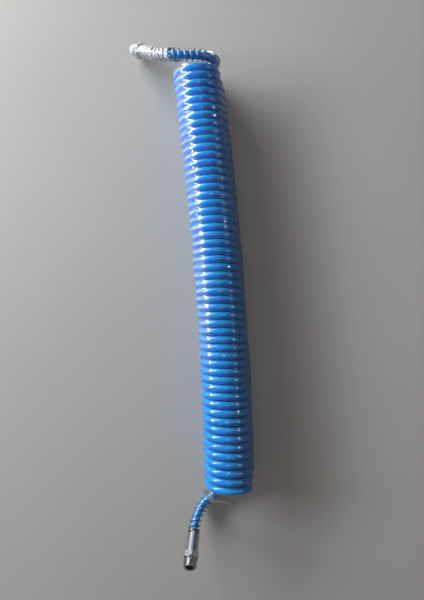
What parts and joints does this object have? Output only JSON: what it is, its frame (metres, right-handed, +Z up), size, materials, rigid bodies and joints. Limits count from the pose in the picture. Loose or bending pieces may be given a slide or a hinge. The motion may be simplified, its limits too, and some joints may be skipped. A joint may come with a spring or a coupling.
{
  "type": "coiled air hose",
  "caption": "Coiled polyurethane air hose that stretches and springs back, with wire guards, crimped ferrules and swivelling male threaded ends, in a clear film sleeve.",
  "frame": {"origin": "on the surface that the coil lies on, at the middle of the coil's chord", "axes": "+Y along the coil's chord towards the wrapped end, +Z up, +X to the side that the coil bows to"},
  "size_m": [0.1042, 0.5571, 0.0557],
  "materials": {
    "hose": "glossy translucent polyurethane",
    "guard_wire": "bright drawn spring wire",
    "ferrule_plate": "nickel plated, satin",
    "stem_brass": "turned",
    "seal_rubber": "moulded nitrile",
    "ring_steel": "spring steel",
    "thread_plate": "nickel plated, bright",
    "clear_film": "clear shiny packing film"
  },
  "bodies": {
    "root": {"hose_coil": "hose", "hose_tail_top": "hose", "guard_spring_top": "guard_wire", "ferrule_top": "ferrule_plate", "hose_stem_top": "stem_brass", "o_ring_top": "seal_rubber", "retaining_ring_top": "ring_steel", "film_sleeve": "clear_film", "film_cuff": "clear_film"},
    "swivel_top": {"swivel_body_top": "thread_plate"},
    "far_end": {"hose_tail_bottom": "hose", "guard_spring_bottom": "guard_wire", "ferrule_bottom": "ferrule_plate", "hose_stem_bottom": "stem_brass", "o_ring_bottom": "seal_rubber", "retaining_ring_bottom": "ring_steel"},
    "swivel_bottom": {"swivel_body_bottom": "thread_plate"}
  },
  "joints": [
    {"name": "coil_stretch", "type": "slide", "parent": "root", "child": "far_end", "axis": [0, -1, 0], "range_m": [0, 4], "stiffness_N_per_m": 3, "deforming": ["hose_coil"]},
    {"name": "swivel_top_spin", "type": "hinge", "parent": "root", "child": "swivel_top", "pos_m": [-0.0444, 0.24302, 0.0279], "axis": [-0.6207, 0.5026, -0.6018], "continuous": true},
    {"name": "swivel_bottom_spin", "type": "hinge", "parent": "far_end", "child": "swivel_bottom", "pos_m": [-0.0408, -0.26612, 0.0244], "axis": [-0.1242, -0.5378, 0.8339], "continuous": true}
  ]
}
